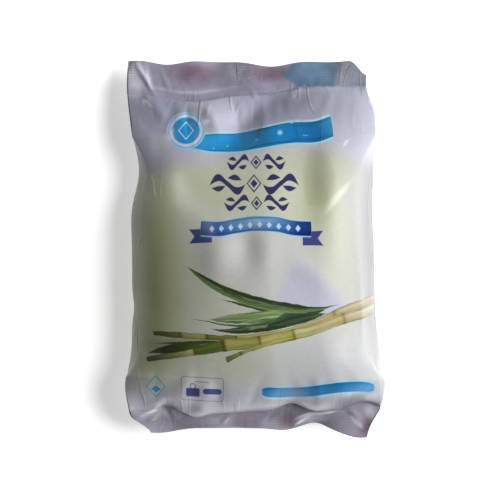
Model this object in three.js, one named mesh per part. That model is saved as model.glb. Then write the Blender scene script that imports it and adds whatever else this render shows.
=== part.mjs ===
// A filled one-kilogram sugar packet: a soft film bag with gusseted sides and a flat seal at each end,
// lying on its back. X runs across the front, Y runs from the bottom seal to the top seal, and Z is up.
// The origin is on the surface it lies on, under the middle of the packet. Sizes are in millimetres.
//
// The bag is two sheets of film, a front and a back. Each runs from the middle crease of the left gusset to
// the middle crease of the right one, so they share those creases. At each end they lie together as a seal.
import * as THREE from "three";

const { lerp, smoothstep } = THREE.MathUtils;

// Overall sizes
const halfLength = 113.3; // from the middle to the furthest point of a seal
const crownHeight = 61; // the level top of the belly
const sealGauge = 1.2; // thickness of the flat seals

// Ends: where each seal begins, and how high above the ground it lies there
const bottomSealY = -97;
const topSealY = 93;
const bottomSealLevel = 24;
const topSealLevel = 19;
const sealDroop = 4; // how far a seal's outer edge hangs below its inner edge

// Front sheet: how gently its middle and its side creases taper towards each end
const middleTaper = { bottom: 48, bottomRoundness: 1.8, top: 106, topRoundness: 1.4 };
const creaseTaper = { bottom: 60, bottomRoundness: 1.5, top: 126, topRoundness: 1.3 };

// Flanks: the sugar has settled to the right, so the left flank is long and the right one is short. Each
// starts at a share of the half width, and comes down in a curve that turns tighter at its side crease.
const leftFlank = { crease: 29, start: 0.2, power: 1.6, turnShare: 0.26, turnPower: 6 };
const rightFlank = { crease: 54, start: 0.6, power: 1.8, turnShare: 0.25, turnPower: 7 };

// Back sheet: it lies flat in the middle and turns up at its sides and ends
const backTaper = { bottom: 28, bottomRoundness: 2, top: 44, topRoundness: 1.9 };
const flatShare = 0.66; // share of the half width that touches the ground
const backLift = 5; // height of the back's side creases

// Gussets: they bulge beside the belly and tuck in between the sheets near the seals
const leftBulge = 6;
const rightBulge = 10;
const tuckDepth = 13;

// Mesh density
const frontSteps = 27; // across a sheet, between its side creases
const gussetSteps = 4; // from a side crease to the middle crease of its gusset
const sealRows = 4; // along each seal
const bodyRows = 46; // between the seals

const bell = (x, centre, spread) => Math.exp(-(((x - centre) / spread) ** 2));

// How full the bag is at a distance from a seal: 0 at the seal, 1 past the taper, round like a superellipse
const roundedRise = (distance, taper, roundness) => {
  const share = THREE.MathUtils.clamp(distance / taper, 0, 1);
  return (1 - (1 - share) ** roundness) ** (1 / roundness);
};

const fullness = (y, taper) =>
  roundedRise(y - bottomSealY, taper.bottom, taper.bottomRoundness) *
  roundedRise(topSealY - y, taper.top, taper.topRoundness);

// The plan outline, as the packet's half widths: waists and swells of a soft bag, and its rounded corners
const leftEdge = (y) =>
  -73.6 - 3.1 * bell(y, 102, 24) + 4 * bell(y, 47, 17) - 0.8 * bell(y, 20, 14) + 1.2 * bell(y, -35, 8) -
  3.4 * bell(y, -82, 15) + 11.5 * smoothstep(-y, 97, halfLength) ** 1.8;

const rightEdge = (y) =>
  71.3 - 4 * smoothstep(y, 76, 93) + 0.8 * bell(y, 72, 14) - 0.9 * bell(y, 22, 16) +
  5.3 * bell(y, -82, 30) - 5.5 * smoothstep(-y, 97, halfLength);

// Where each seal begins, as a line that swings a little across the packet
const topLine = (x) => topSealY - 4.4 * bell(x, -38, 22) + 4.5 * smoothstep(x, 0, 40);

const bottomLine = (x) =>
  bottomSealY + 3.5 * bell(x, -52, 7) - 2.5 * bell(x, -35, 7) - 1.6 * bell(x, -24, 18) +
  4.8 * bell(x, 22, 9) + 6 * bell(x, 66, 11);

// The cut ends of the seals: a soft film edge that swings in and out
const topEnd = (x) =>
  halfLength - 2.4 * bell(x, -53, 11) - 3.6 * bell(x, 9, 15) - 9 * smoothstep(x, 57, 68);

const bottomEnd = (x) =>
  -107.4 - 3.3 * bell(x, -56, 15) - 6 * bell(x, 64, 15) + 2.8 * bell(x, 37, 8) - 1.5 * bell(x, 18, 8);

// Height of the seam between the sheets. The seals droop and wave beyond the place where they begin.
const seamLevel = (x, y) => {
  const beyondTop = Math.max(0, y - topSealY) / (halfLength - topSealY);
  const beyondBottom = Math.max(0, bottomSealY - y) / (halfLength + bottomSealY);
  const level = lerp(bottomSealLevel, topSealLevel, smoothstep(y, bottomSealY, topSealY));
  const topWave = 3.2 * Math.sin(x / 10.5 + 0.8) + 1.8 * Math.sin(x / 5.2 + 2.2);
  const bottomWave = 2.6 * Math.sin(x / 12 + 2) + 1.6 * Math.sin(x / 6.1);
  return level - sealDroop * (beyondTop + beyondBottom) + topWave * beyondTop + bottomWave * beyondBottom;
};

// Soft folds of the front sheet, each along a line: positive heights are ridges and negative ones valleys
const folds = [
  { from: [16, 95], to: [-20, 60], spread: 8, height: -4.5 }, // the slack valley under the top seal
  { from: [-14, 86], to: [-12, 28], spread: 24, height: -3.5 }, // a shallow dish where the sugar sank
  { from: [-30, 92], to: [-20, 66], spread: 8, height: 2.6 }, // the swell beside it
  { from: [-70, 100], to: [-52, 78], spread: 4.5, height: 2.4 }, // corner fold, top left
  { from: [-50, 96], to: [-57, 56], spread: 5, height: -1.8 },
  { from: [48, 94], to: [44, 66], spread: 8, height: -2.2 },
  { from: [-22, 18], to: [-22, -22], spread: 9, height: 1.7 }, // crests on both sides of the dimple
  { from: [-5, 14], to: [-4, -12], spread: 8, height: -2 }, // the dimple on the crown
  { from: [6, 12], to: [6, -18], spread: 8, height: 0.8 },
  { from: [19, -4], to: [52, -30], spread: 7, height: 0.8 },
  { from: [33, 58], to: [31, 12], spread: 13, height: -2.4 }, // a trough beside the right shoulder
  { from: [43, 62], to: [46, -2], spread: 8, height: 2 }, // the right shoulder
  { from: [-62, -100], to: [-46, -84], spread: 4.5, height: 2.2 }, // corner fold, bottom left
  { from: [-40, -97], to: [-34, -84], spread: 5, height: -2.4 },
  { from: [30, -102], to: [44, -88], spread: 4.5, height: 2.4 },
  { from: [44, -86], to: [70, -106], spread: 6, height: -3 }, // corner fold, bottom right
];

const foldRelief = (x, y) =>
  folds.reduce((sum, { from, to, spread, height }) => {
    const [runX, runY] = [to[0] - from[0], to[1] - from[1]];
    const along = ((x - from[0]) * runX + (y - from[1]) * runY) / (runX ** 2 + runY ** 2);
    const gap = Math.hypot(x - from[0] - along * runX, y - from[1] - along * runY);
    return sum + height * bell(gap, 0, spread) * bell(along, 0.5, 0.45);
  }, 0);

// How far the gusset's middle crease stands outside the side creases, or inside them where it tucks in
const gussetReach = (y, bulge) =>
  bulge * smoothstep(y - bottomSealY, 10, 40) * smoothstep(topSealY - y, 18, 52) -
  tuckDepth * (bell(y, bottomSealY + 12, 6.5) + bell(y, topSealY - 14, 8));

// A point of the front or the back sheet. across runs from -1 at the left side crease to 1 at the right one.
const sheetPoint = (across, y, isFront) => {
  const left = leftEdge(y) + Math.max(0, gussetReach(y, leftBulge));
  const right = rightEdge(y) - Math.max(0, gussetReach(y, rightBulge));
  const x = lerp(left, right, (across + 1) / 2);
  const z = isFront ? frontHeight(across, x, y) : backHeight(across, x, y);
  return new THREE.Vector3(x, planY(x, y), z);
};

// A row keeps its place along the body, meets the line of a seal, and fans out to the seal's cut edge
const planY = (x, y) => {
  const inTop = (y - topSealY) / (halfLength - topSealY);
  const inBottom = (bottomSealY - y) / (halfLength + bottomSealY);
  if (inTop > 0) return lerp(topLine(x), topEnd(x), inTop);
  if (inBottom > 0) return lerp(bottomLine(x), bottomEnd(x), inBottom);
  const topShift = (topLine(x) - topSealY) * smoothstep(y, 62, topSealY);
  return y + topShift + (bottomLine(x) - bottomSealY) * smoothstep(-y, 74, -bottomSealY);
};

// How far down a flank a place lies, from 0 on the crown to 1 at the side crease
const flankShare = (across, side, { start, power, turnShare, turnPower }) => {
  const distance = Math.max(0, (side * across - side * start) / (1 - side * start));
  return lerp(distance ** power, distance ** turnPower, turnShare);
};

const frontHeight = (across, x, y) => {
  const seam = seamLevel(x, y) + sealGauge / 2;
  const middleRise = (crownHeight - seam) * fullness(y, middleTaper);
  const leftDrop = middleRise - (leftFlank.crease - seam) * fullness(y, creaseTaper);
  const rightDrop = middleRise - (rightFlank.crease - seam) * fullness(y, creaseTaper);
  const drop = leftDrop * flankShare(across, -1, leftFlank) + rightDrop * flankShare(across, 1, rightFlank);
  const clearOfSeals = smoothstep(Math.min(y - bottomSealY, topSealY - y), -6, 8);
  const relief = foldRelief(x, y) * clearOfSeals * (1 - across ** 6);
  return seam + middleRise - drop + relief;
};

const backHeight = (across, x, y) => {
  const seam = seamLevel(x, y) - sealGauge / 2;
  const fromFlat = Math.max(0, (Math.abs(across) - flatShare) / (1 - flatShare));
  const settled = backLift * fromFlat ** 2;
  return lerp(seam, Math.min(settled, seam), fullness(y, backTaper));
};

// A point of one half of a gusset: share runs from the sheet's side crease to the gusset's middle crease
const gussetPoint = (side, share, y, isFront) => {
  const reach = gussetReach(y, side < 0 ? leftBulge : rightBulge);
  const front = sheetPoint(side, y, true);
  const back = sheetPoint(side, y, false);
  const crease = isFront ? front : back;
  const curve = reach > 0 ? Math.sin((share * Math.PI) / 2) : share;
  const middleZ = (front.z + back.z) / 2;
  return new THREE.Vector3(crease.x + side * reach * curve, crease.y, lerp(crease.z, middleZ, share));
};

// One row of a sheet, from the left gusset's middle crease to the right one's
const sheetRow = (y, isFront) => {
  const row = [];
  for (let i = gussetSteps; i > 0; i--) row.push(gussetPoint(-1, i / gussetSteps, y, isFront));
  for (let i = 0; i <= frontSteps; i++) row.push(sheetPoint(-1 + (2 * i) / frontSteps, y, isFront));
  for (let i = 1; i <= gussetSteps; i++) row.push(gussetPoint(1, i / gussetSteps, y, isFront));
  return row;
};

// Rows lie closer together near the seals, where the bag turns in
const rowPlaces = () => {
  const places = [];
  for (let i = 0; i < sealRows; i++) places.push(lerp(-halfLength, bottomSealY, i / sealRows));
  for (let i = 0; i <= bodyRows; i++) {
    const even = i / bodyRows;
    const eased = (1 - Math.cos(even * Math.PI)) / 2;
    places.push(lerp(bottomSealY, topSealY, lerp(even, eased, 0.6)));
  }
  for (let i = 1; i <= sealRows; i++) places.push(lerp(topSealY, halfLength, i / sealRows));
  return places;
};

// The closed skin of the packet: each row is a ring of front and back points, and the end rings are shut
const packetGeometry = () => {
  const last = frontSteps + 2 * gussetSteps; // index of a row's last point
  const ring = 2 * last;
  const positions = [];
  const rows = rowPlaces();
  for (const y of rows) {
    const front = sheetRow(y, true);
    const back = sheetRow(y, false).slice(1, last).reverse(); // the ends are the front's own
    for (const point of [...front, ...back]) positions.push(point.x, point.y, point.z);
  }
  const faces = [];
  const quad = (a, b, c, d) => faces.push(a, b, c, a, c, d);
  for (let row = 0; row + 1 < rows.length; row++) {
    for (let i = 0; i < ring; i++) {
      const next = (i + 1) % ring;
      quad(row * ring + i, row * ring + next, (row + 1) * ring + next, (row + 1) * ring + i);
    }
  }
  for (const [first, outward] of [[0, false], [(rows.length - 1) * ring, true]]) {
    const front = (i) => first + i;
    const back = (i) => first + ((ring - i) % ring);
    for (let i = 0; i < last; i++) {
      const corners = [front(i), front(i + 1), back(i + 1), back(i)];
      const [a, b, c, d] = outward ? corners : corners.reverse();
      if (i === 0) outward ? faces.push(a, b, c) : faces.push(b, c, d);
      else if (i === last - 1) outward ? faces.push(a, b, d) : faces.push(a, c, d);
      else quad(a, b, c, d);
    }
  }
  const geometry = new THREE.BufferGeometry();
  geometry.setAttribute("position", new THREE.Float32BufferAttribute(positions, 3));
  geometry.setIndex(faces);
  geometry.computeVertexNormals();
  return geometry;
};

const printedFilm = new THREE.MeshStandardMaterial({ color: 0xdfe1d6, roughness: 0.35, metalness: 0 });

const packet = new THREE.Mesh(packetGeometry(), printedFilm);
packet.name = "packet";

const sugarPacket = new THREE.Group();
sugarPacket.add(packet);

export default sugarPacket;
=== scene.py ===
import math
import bpy
import numpy as np
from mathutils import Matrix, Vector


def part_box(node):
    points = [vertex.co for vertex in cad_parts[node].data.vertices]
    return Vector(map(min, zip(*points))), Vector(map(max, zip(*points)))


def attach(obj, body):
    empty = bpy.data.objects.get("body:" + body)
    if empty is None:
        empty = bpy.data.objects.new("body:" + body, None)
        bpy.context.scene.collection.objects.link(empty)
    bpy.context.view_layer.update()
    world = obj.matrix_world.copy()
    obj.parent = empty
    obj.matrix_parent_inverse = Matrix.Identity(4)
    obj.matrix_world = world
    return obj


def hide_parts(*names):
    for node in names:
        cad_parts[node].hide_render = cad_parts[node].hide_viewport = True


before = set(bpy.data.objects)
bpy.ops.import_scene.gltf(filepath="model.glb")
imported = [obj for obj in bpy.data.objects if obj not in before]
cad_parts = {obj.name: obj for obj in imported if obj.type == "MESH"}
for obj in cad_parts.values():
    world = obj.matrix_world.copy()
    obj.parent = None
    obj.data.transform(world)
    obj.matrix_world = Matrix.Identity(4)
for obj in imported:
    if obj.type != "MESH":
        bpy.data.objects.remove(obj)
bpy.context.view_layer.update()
mm = 0.001  # the packet's sizes below are in millimetres, and the meshes in metres


def bell(x, centre, spread):
    return np.exp(-(((x - centre) / spread) ** 2))


def smoothstep(x, low, high):
    share = np.clip((x - low) / (high - low), 0, 1)
    return share * share * (3 - 2 * share)


def lerp(a, b, share):
    return a + (b - a) * share


def roundedRise(distance, taper, roundness):
    share = np.clip(distance / taper, 0, 1)
    return (1 - (1 - share) ** roundness) ** (1 / roundness)


# The form of the bag. It's the same soft bag as the solid in the frame: a front and a back sheet of film share
# the middle creases of the side gussets, and lie together as a flat seal at each end.
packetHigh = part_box("packet")[1]  # the high corner of the solid's box
bag = {
    "halfLength": packetHigh.y / mm,  # from the middle to the furthest point of a seal
    "crownHeight": 61,  # the level top of the belly
    "bottomSealY": -97, "topSealY": 93,  # where the seals begin
    "straightFrom": -74, "straightTo": 62,  # rows between these levels run straight across
    "bottomSealLevel": 24, "topSealLevel": 19, "sealDroop": 4,
    "leftCrease": 29, "rightCrease": 54,  # heights of the front's side creases along the belly
    "middleTaper": (48, 1.8, 106, 1.4),  # bottom taper and its roundness, then top taper and its roundness
    "creaseTaper": (60, 1.5, 126, 1.3),
    "leftFlank": (0.2, 1.6, 0.26, 6),  # where the front starts to come down from its crown, the power of its
    "rightFlank": (0.6, 1.8, 0.25, 7),  # roundness, then share and power of the turn at the crease
    "backTaper": (28, 2, 44, 1.9),
    "flatShare": 0.66, "backLift": 5,
    "leftBulge": 6, "rightBulge": 10,  # how far the gussets swell outwards
    "bulgeRuns": ((10, 40), (18, 52)),  # over these distances from the bottom seal and from the top seal
    "tuckDepth": 13,  # how far they tuck in near the seals
    "tuckPlaces": ((12, 6.5), (14, 8)),  # at these distances from the two, with these spreads
    "foldFade": (-6, 8), "puckerFade": (0, 7), "creaseFade": (88, 95),  # where folds, puckers and creases set in
    "seamGap": 0.4,  # the two sheets of a seal, drawn a little thicker than real film
}

bottomSeal, topSeal, halfLength = bag["bottomSealY"], bag["topSealY"], bag["halfLength"]

# Lines of the outline, for the sides and for where each seal begins and ends: a level, swells as height, middle and
# spread, and slopes as height, start, end and power
outline = {
    "left": (-73.6, [(-3.1, 102, 24), (4, 47, 17), (-0.8, 20, 14), (1.2, -35, 8), (-3.4, -82, 15)],
             [(11.5, bottomSeal, -halfLength, 1.8)]),
    "right": (71.3, [(0.8, 72, 14), (-0.9, 22, 16), (5.3, -82, 30)],
              [(-4, 76, topSeal, 1), (-5.5, bottomSeal, -halfLength, 1)]),
    "topLine": (topSeal, [(-4.4, -38, 22)], [(4.5, 0, 40, 1)]),
    "topEnd": (halfLength, [(-2.4, -53, 11), (-3.6, 9, 15)], [(-9, 57, 68, 1)]),
    "bottomLine": (bottomSeal, [(3.5, -52, 7), (-2.5, -35, 7), (-1.6, -24, 18), (4.8, 22, 9), (6, 66, 11)], []),
    "bottomEnd": (-107.4, [(-3.3, -56, 15), (-6, 64, 15), (2.8, 37, 8), (-1.5, 18, 8)], []),
}
# Waves across the top seal and the bottom seal: height, length and start
sealWaves = [[(3.2, 10.5, 0.8), (1.8, 5.2, 2.2)], [(2.6, 12, 2), (1.6, 6.1, 0)]]

# Soft gathers that run out of the seals, between two places across the packet
gathers = {"count": 22, "seed": 7, "places": (-66, 62), "length": (12, 38), "spread": (2, 5), "height": (0.3, 1.1)}

# Folds of the front, each along a line from one point to another: spread is its softness across, and height is
# positive for a ridge and negative for a valley
folds = [
    ((16, 95), (-20, 60), 8, -4.5),  # the slack valley under the top seal
    ((-14, 86), (-12, 28), 24, -3.5),  # a shallow dish where the sugar has sunk away
    ((-30, 92), (-20, 66), 8, 2.6),  # the swell beside it
    ((-70, 100), (-52, 78), 4.5, 2.4),  # corner fold, top left
    ((-50, 96), (-57, 56), 5, -1.8),
    ((48, 94), (44, 66), 8, -2.2),
    ((-22, 18), (-22, -22), 9, 1.7),  # crests on both sides of the dimple
    ((-5, 14), (-4, -12), 8, -2),  # the dimple on the crown
    ((6, 12), (6, -18), 8, 0.8),
    ((19, -4), (52, -30), 7, 0.8),
    ((33, 58), (31, 12), 13, -2.4),  # a trough, then the shoulder above the right crease
    ((43, 62), (46, -2), 8, 2),
    ((-62, -100), (-46, -84), 4.5, 2.2),
    ((-40, -97), (-34, -84), 5, -2.4),
    ((30, -102), (44, -88), 4.5, 2.4),
    ((44, -86), (70, -106), 6, -3),  # corner fold, bottom right
]

# Sharp creases of the film, in the same terms, each with a painted highlight along it. Both sheets follow those in
# and beside the seals, and the others are only painted highlights on the front.
creases = [
    ((-71, 112), (-60, 94), 1.5, 1.7), ((-66, 112), (-62, 97), 1.3, 1.1), ((-56, 109), (-51, 98), 1.4, 0.8),
    ((-66, 98), (-58, 70), 1.8, 0.9), ((-72, 88), (-64, 60), 1.6, 0.8),
    ((30, 96), (18, 86), 1.6, 0.8), ((-2, 96), (2, 88), 1.2, 0.7),
    ((24, -106.5), (35, -99.5), 1.1, 2.1), ((34, -99.5), (50, -97), 1.1, 1.9), ((56, -98), (66, -109), 1.5, 1.9),
    ((60, 92), (58, 62), 1.3, 0.9), ((51, 58), (56, 66), 1.2, 1.4), ((66, 88), (62, 52), 1.3, 0.8),
    ((-71, -101), (-55, -95), 1.6, 1.6), ((-57, -93), (-50, -104), 1.5, -1.4), ((-64, -104), (-56, -100), 1.4, 1),
    ((-20, -108), (-14, -99), 1.6, 1), ((6, -107), (12, -100), 1.5, -0.9), ((52, -86), (60, -97), 1.8, 0.5),
]


def fullness(y, taper):
    bottom, bottomRoundness, top, topRoundness = taper
    fromBottom = roundedRise(y - bottomSeal, bottom, bottomRoundness)
    return fromBottom * roundedRise(topSeal - y, top, topRoundness)


def outlineAt(line, place):
    level, swells, slopes = outline[line]
    level = level + sum(height * bell(place, middle, spread) for height, middle, spread in swells)
    return level + sum(height * smoothstep(place, start, end) ** power for height, start, end, power in slopes)


# How far into the top seal and into the bottom seal a row lies, from 0 to 1
def sealShare(y):
    top = np.maximum(0, y - topSeal) / (halfLength - topSeal)
    bottom = np.maximum(0, bottomSeal - y) / (halfLength + bottomSeal)
    return top, bottom


def seamLevel(x, y):
    level = lerp(bag["bottomSealLevel"], bag["topSealLevel"], smoothstep(y, bottomSeal, topSeal))
    for share, waves in zip(sealShare(y), sealWaves):
        swing = sum(height * np.sin(x / length + start) for height, length, start in waves)
        level = level + share * (swing - bag["sealDroop"])
    fromMiddle = np.abs(y - (topSeal + bottomSeal) / 2)
    return level + foldRelief(x, y, creases) * smoothstep(fromMiddle, *bag["creaseFade"])


# A row keeps its place along the body, meets the line where a seal begins, and fans out to the seal's cut edge
def planY(x, y):
    top, bottom = sealShare(y)
    topLine, bottomLine = outlineAt("topLine", x), outlineAt("bottomLine", x)
    topShift = (topLine - topSeal) * smoothstep(y, bag["straightTo"], topSeal)
    bottomShift = (bottomLine - bottomSeal) * smoothstep(y, bag["straightFrom"], bottomSeal)
    inBody = y + topShift + bottomShift
    inTop = lerp(topLine, outlineAt("topEnd", x), top)
    inBottom = lerp(bottomLine, outlineAt("bottomEnd", x), bottom)
    return np.where(top > 0, inTop, np.where(bottom > 0, inBottom, inBody))


def foldRelief(x, y, lines):
    relief = np.zeros(np.broadcast(x, y).shape)
    for (x1, y1), (x2, y2), spread, height in lines:
        runX, runY = x2 - x1, y2 - y1
        along = ((x - x1) * runX + (y - y1) * runY) / (runX ** 2 + runY ** 2)
        gap = np.hypot(x - x1 - along * runX, y - y1 - along * runY)
        relief += height * bell(gap, 0, spread) * bell(along, 0.5, 0.45)  # it fades out towards both ends
    return relief


def puckerLines():
    draw = np.random.default_rng(gathers["seed"])
    pairs = gathers["count"] // 2
    lines = []
    for i in range(gathers["count"]):
        side = 1 if i % 2 else -1
        sealY = topSeal if side > 0 else bottomSeal
        x = lerp(*gathers["places"], (i // 2 + draw.uniform(0, 1)) / pairs)
        length = draw.uniform(*gathers["length"])
        start = (x, sealY - side * draw.uniform(0, 4))
        end = (x * 0.9 + draw.uniform(-9, 9), sealY - side * length)
        spread = draw.uniform(*gathers["spread"])
        lines.append((start, end, spread, draw.choice((-1, 1)) * draw.uniform(*gathers["height"])))
    return lines


def gussetReach(y, bulge):
    fromBottom, fromTop = y - bottomSeal, topSeal - y
    bottomRun, topRun = bag["bulgeRuns"]
    swell = bulge * smoothstep(fromBottom, *bottomRun) * smoothstep(fromTop, *topRun)
    bottomTuck, topTuck = bag["tuckPlaces"]
    return swell - bag["tuckDepth"] * (bell(fromBottom, *bottomTuck) + bell(fromTop, *topTuck))


# How far the front has come down from its crown, at 0, to its left crease and to its right crease, at 1
def flank(across):
    shares = []
    for side, (start, power, turnShare, turnPower) in ((-1, bag["leftFlank"]), (1, bag["rightFlank"])):
        distance = np.clip((side * across - side * start) / (1 - side * start), 0, 1)
        shares.append(lerp(distance ** power, distance ** turnPower, turnShare))
    return shares


# Points of one sheet and their places in the flat print. share runs from -2 at the left gusset's middle crease,
# by -1 and 1 at the side creases of the front, to 2 at the right gusset's middle crease.
def sheetPoints(share, y, isFront):
    across = np.clip(share, -1, 1)
    side = np.sign(share)
    outwards = np.clip(np.abs(share) - 1, 0, 1)
    left = outlineAt("left", y) + np.maximum(0, gussetReach(y, bag["leftBulge"]))
    right = outlineAt("right", y) - np.maximum(0, gussetReach(y, bag["rightBulge"]))
    x = lerp(left, right, (across + 1) / 2)

    seam = seamLevel(x, y)
    frontSeam = seam + bag["seamGap"] / 2
    backSeam = seam - bag["seamGap"] / 2
    creaseFull = fullness(y, bag["creaseTaper"])
    middleRise = (bag["crownHeight"] - frontSeam) * fullness(y, bag["middleTaper"])
    leftDrop = middleRise - (bag["leftCrease"] - frontSeam) * creaseFull
    rightDrop = middleRise - (bag["rightCrease"] - frontSeam) * creaseFull
    leftFlank, rightFlank = flank(across)
    inside = np.minimum(y - bottomSeal, topSeal - y)
    relief = foldRelief(x, y, folds) * smoothstep(inside, *bag["foldFade"])
    relief = relief + foldRelief(x, y, puckers) * smoothstep(inside, *bag["puckerFade"])
    front = frontSeam + middleRise - leftDrop * leftFlank - rightDrop * rightFlank
    front = front + relief * (1 - across ** 6)  # the side creases stay straight
    fromFlat = np.clip((np.abs(across) - bag["flatShare"]) / (1 - bag["flatShare"]), 0, 1)
    settled = np.minimum(bag["backLift"] * fromFlat ** 2, backSeam)
    back = lerp(backSeam, settled, fullness(y, bag["backTaper"]))

    crease = front if isFront else back
    middle = (front + back) / 2 + (bag["seamGap"] / 2 if isFront else -bag["seamGap"] / 2)
    reach = gussetReach(y, np.where(side < 0, bag["leftBulge"], bag["rightBulge"]))
    curve = np.where(reach > 0, np.sin(outwards * math.pi / 2), outwards)
    z = lerp(crease, middle, outwards)
    pointX = x + side * reach * curve
    pointY = planY(x, y) + np.zeros_like(pointX)
    printX = x + side * outwards * np.hypot(reach, crease - middle)
    return np.stack([pointX, pointY, z], axis=-1), printX, pointY


# Places of the columns and rows: the gussets and the turns beside the seals get the closer ones
weave = {"gussetColumns": 18, "frontColumns": 144, "sealRows": 26, "bodyRows": 204, "crowding": 0.5}


def columnPlaces(gussetColumns, frontColumns):
    gusset = np.linspace(1, 2, gussetColumns + 1)[1:]
    return np.concatenate([-gusset[::-1], np.linspace(-1, 1, frontColumns + 1), gusset])


def rowPlaces(sealRows, bodyRows):
    even = np.linspace(0, 1, bodyRows + 1)
    eased = lerp(even, (1 - np.cos(even * math.pi)) / 2, weave["crowding"])
    body = lerp(bottomSeal, topSeal, eased)
    bottom = np.linspace(-halfLength, bottomSeal, sealRows + 1)[:-1]
    top = np.linspace(topSeal, halfLength, sealRows + 1)[1:]
    return np.concatenate([bottom, body, top])


def linearColour(hexColour):
    channels = [int(hexColour[i:i + 2], 16) / 255 for i in (0, 2, 4)]
    return tuple(c / 12.92 if c <= 0.04045 else ((c + 0.055) / 1.055) ** 2.4 for c in channels) + (1,)


# Colours of the film without ink. Levels, edges and patches are in millimetres on the flat print.
filmLook = {
    "white": "b2b3b0",
    "slack": "a3a4b3", "slackFrom": 55,  # no sugar lies right behind the film above this level, and it's painted greyer there for the shade seen through it
    "foot": "aeaeb8", "footEdge": (-72, -90),
    "topSeal": "8f8b9d", "topEdge": (-1.6, 0.8),  # the seals show the back's print through
    "bottomSeal": "938e9e", "bottomEdge": (-1.2, 0.8),
    "sealLine": "7f7b8c", "sealGlint": "b9b7c6",
    "paintedCreaseHighlight": "dedde6", "topPaintedHighlight": 0.55, "footPaintedHighlight": 0.95,  # painted highlights along sharp creases
    "bareFrom": 1.6, "backBareFrom": 1,  # where the print ends across the gussets
    "bareClearness": 0.3, "sealClearness": 0.18,  # how much shows through where no ink backs the film
}

# Soft colour fields: centre, reach each way, turn in degrees, strength and colour. They're laid in this order.
softFields = [
    ((-58, -22), (19, 62), 0, 1.0, "aaae82"),  # pale yellow-green, down the left side
    ((-42, 36), (24, 17), 0, 0.6, "adb18f"),
    ((2, 34), (48, 22), 0, 0.6, "adb08f"),  # behind the three rows of ornament
    ((36, 28), (13, 24), 0, 0.7, "a5a985"),
    ((48, -4), (13, 28), 0, 0.35, "b1b392"),
    ((-32, -24), (26, 26), 0, 0.5, "abaf8c"),
    ((-6, -64), (46, 13), 0, 0.5, "abaf8f"),
    ((-16, -8), (17, 20), -12, 0.6, "b3b3b1"),  # the plain white between them
    ((4, -14), (13, 20), 0, 0.5, "b0b1ae"),
    ((36, -70), (34, 16), 0, 0.7, "acadb4"),
    ((-63, -30), (10, 36), 0, 0.7, "8d9168"),  # painted shade on the left flank, which faces away from the key light
    ((40, 49), (21, 13), 0, 0.6, "999c86"),
    ((-42, -55), (24, 4), 6, 0.55, "6d6e48"),  # the shade painted between the canes
    ((80, 0), (23, 88), 0, 0.9, "7a7a7f"),  # unprinted right edge and gusset, darkened with painted shade
    # painted shade along the upper right edge
    ((79, 70), (8, 26), 0, 0.75, "55565d"),
    ((-86, 0), (18, 88), 0, 0.85, "767672"),  # unprinted left edge and gusset, darkened with painted shade
]

# Painted shade and painted highlights: darker in the hollows of the slack film over the sugar and lighter where it
# bows up, and the same along the foot of the belly above the bottom seal
slackShadeAndHighlights = [
    ((19, 84), (37, 14), 10, 0.85, "7f8093"), ((-60, 83), (27, 18), -16, 0.9, "77788a"),
    ((-20, 83), (12, 10), -20, 0.9, "abacba"), ((56, 84), (12, 14), 0, 0.5, "a0a1ae"),
    ((-32, -89.5), (6, 4), 0, 0.8, "d8d8de"), ((48, -90), (12, 4.5), -8, 0.8, "84848e"),
    ((57, -90), (8, 5), 0, 0.6, "6c6c76"), ((12, -88), (9, 4), 0, 0.8, "8c8c94"),
    ((24, -93), (8, 2.5), 0, 0.8, "dedee4"), ((69, -89), (4, 5), 0, 0.9, "e8e8ee"),
    ((-24, -89), (5, 4), 0, 0.5, "8e8e98"), ((-73, -93), (6, 8), 0, 0.8, "d8d8e0"),
    ((38, 60), (12, 8), 0, 0.35, "85868f"), ((37, 87), (9, 15), 0, 0.65, "74757f"),
    ((54, -91.5), (8, 4), 0, 0.6, "6a6a74"),
]

# Patches in the seals: the back's print showing through, and painted shade and painted highlights on the crumpled
# film. Centre, reach each way, strength and colour
sealPrintShadeAndHighlights = [
    ((-36, 106), (14, 6), 0.8, "6b4c5a"), ((-33, 101), (9, 4), 0.5, "736c80"), ((11, 106), (13, 5.5), 0.8, "644858"),
    ((60, 104), (9, 9), 0.8, "848c9d"), ((-71, 104), (6, 10), 0.9, "e2e0ec"), ((-56, 107), (8, 6), 0.6, "73717c"),
    ((66, 102), (4, 8), 0.6, "6c6a78"), ((-53, -104), (13, 7), 0.55, "7f7a88"), ((-32, -104), (9, 5), 0.3, "827c8c"),
    ((-40, -107), (8, 4), 0.4, "8e7a8c"), ((-65, -98), (8, 4), 0.6, "c6c4d0"), ((-43, -98), (8, 3.5), 0.6, "bdbac8"),
    ((-20, -104), (8, 5), 0.6, "a9a6b6"), ((-5, -103), (8, 5), 0.4, "96758a"), ((20, -99), (14, 4), 0.6, "6f6675"),
    ((21, -103.5), (8, 5), 0.85, "584050"), ((52, -103), (11, 8), 0.7, "6e6978"), ((34, -101), (8, 4), 0.8, "c9c5d4"),
    ((62, -98), (4, 5), 0.6, "77707e"), ((69, -97), (3, 5), 0.35, "e0dce6"), ((68, -106), (5, 6), 0.95, "4f323e"),
]

# Fields with straight sides: corners anticlockwise, width of the blurred edge, strength and colour
facets = {
    "lilac": ([(6, -42), (54, -42), (54, -33), (32, -9), (22, -8)], 4, 0.9, "a8abb9"),
    # painted shade beside the right ends of the ornament rows, and a painted highlight streak along it
    "shadeBesideOrnament": ([(30, 24), (42, 26), (46, 34), (47, 42), (42, 56), (32, 58), (28, 42)], 2, 0.4, "8b8d72"),
    "shine": ([(33, 13), (44, 22.5), (50, 29), (58, 42), (57, 49), (52, 43), (46, 31), (40, 26)], 1.6, 0.6, "d0d2c2"),
    "blue": ([(17.5, 103.5), (27, 96.8), (48, 97), (52, 115), (25, 115)], 1.4, 0.9, "4e6f8c"),
}


def blend(colours, hexColour, share):
    ink = np.array(linearColour(hexColour))[:3]
    return lerp(colours, ink, np.clip(share, 0, 1)[:, None])


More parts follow.
